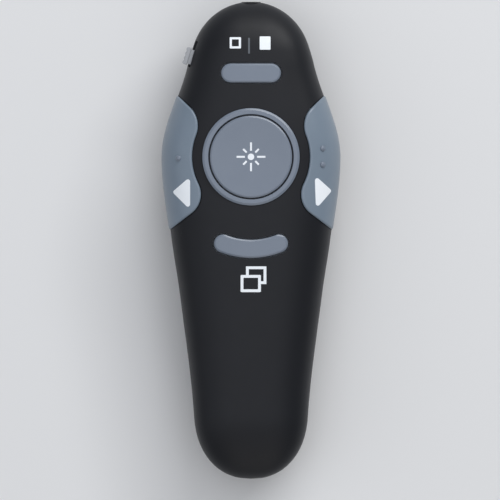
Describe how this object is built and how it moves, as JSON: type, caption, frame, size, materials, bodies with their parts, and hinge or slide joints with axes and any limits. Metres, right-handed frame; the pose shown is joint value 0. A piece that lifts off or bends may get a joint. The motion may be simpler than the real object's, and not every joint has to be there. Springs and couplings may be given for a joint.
{
  "type": "wireless presentation clicker",
  "caption": "Hand-held slide changer with a waisted matte case, round laser button in a ring, side rocker keys, pill buttons, battery door and a docked USB receiver.",
  "frame": {"origin": "under the middle of the case, on the surface its underside rests on", "axes": "+Y towards the laser nose, +X towards the forward key's side, +Z out of the button face"},
  "size_m": [0.0398, 0.1059, 0.0246],
  "materials": {
    "case_plastic": "soft matte",
    "receiver_plastic": "matte",
    "key_plastic": "satin",
    "ring_plastic": "satin",
    "knob_plastic": "satin",
    "steel": "plated",
    "brass": "turned",
    "gold": "plated",
    "lens": "clear",
    "board": "lacquered",
    "switch_plastic": "satin",
    "plunger_plastic": "satin",
    "chip_plastic": "satin",
    "ceramic": "satin",
    "cell_jacket": "printed sleeve",
    "tongue_plastic": "satin"
  },
  "bodies": {
    "case": {"top_shell": "case_plastic", "bottom_shell": "case_plastic", "laser_ring": "ring_plastic", "power_switch_can": "steel", "crystal": "steel", "laser_ferrule": "steel", "laser_diode": "steel", "cell_springs": "steel", "bridge_contact": "steel", "positive_contact": "steel", "negative_contact": "steel", "case_screws": "steel", "board_screws": "steel", "dock_magnet": "steel", "laser_barrel": "brass", "laser_window": "lens", "circuit_board": "board", "tact_switches": "switch_plastic", "controller_chip": "chip_plastic", "radio_chip": "chip_plastic", "capacitors": "ceramic", "aaa_cell_left": "cell_jacket", "aaa_cell_right": "cell_jacket"},
    "laser_push": {"laser_button": "key_plastic", "laser_plunger": "plunger_plastic"},
    "blank_push": {"blank_button": "key_plastic", "blank_plunger": "plunger_plastic"},
    "window_push": {"window_button": "key_plastic", "window_plunger": "plunger_plastic"},
    "back_rocker": {"back_key": "key_plastic", "back_plunger": "plunger_plastic"},
    "forward_rocker": {"forward_key": "key_plastic", "forward_plunger": "plunger_plastic"},
    "power_slider": {"power_knob": "knob_plastic"},
    "door": {"battery_door": "case_plastic"},
    "receiver": {"receiver_cap": "receiver_plastic", "receiver_plug": "steel", "receiver_tongue": "tongue_plastic", "receiver_contacts": "gold"}
  },
  "joints": [
    {"name": "laser_button_press", "type": "slide", "parent": "case", "child": "laser_push", "axis": [0, 0, -1], "range_m": [0, 0.0005], "stiffness_N_per_m": 2400, "springref_m": -0.0001},
    {"name": "blank_button_press", "type": "slide", "parent": "case", "child": "blank_push", "axis": [0, 0, -1], "range_m": [0, 0.0005], "stiffness_N_per_m": 2400, "springref_m": -0.0001},
    {"name": "window_button_press", "type": "slide", "parent": "case", "child": "window_push", "axis": [0, 0, -1], "range_m": [0, 0.0005], "stiffness_N_per_m": 2400, "springref_m": -0.0001},
    {"name": "back_key_press", "type": "hinge", "parent": "case", "child": "back_rocker", "pos_m": [0, 0.0346, 0.0172], "axis": [1, 0, 0], "range_deg": [0, 1.2], "stiffness_Nm_per_rad": 1.4, "springref_deg": -0.23},
    {"name": "forward_key_press", "type": "hinge", "parent": "case", "child": "forward_rocker", "pos_m": [0, 0.0346, 0.0172], "axis": [1, 0, 0], "range_deg": [0, 1.2], "stiffness_Nm_per_rad": 1.4, "springref_deg": -0.23},
    {"name": "power_knob_slide", "type": "slide", "parent": "case", "child": "power_slider", "axis": [0.2924, 0.9563, 0], "range_m": [0, 0.0015]},
    {"name": "battery_door_slide", "type": "slide", "parent": "case", "child": "door", "axis": [0, -1, 0], "range_m": [0, 0.009]},
    {"name": "receiver_lift", "type": "slide", "parent": "case", "child": "receiver", "axis": [0, 0, -1], "range_m": [0, 0.01]}
  ]
}
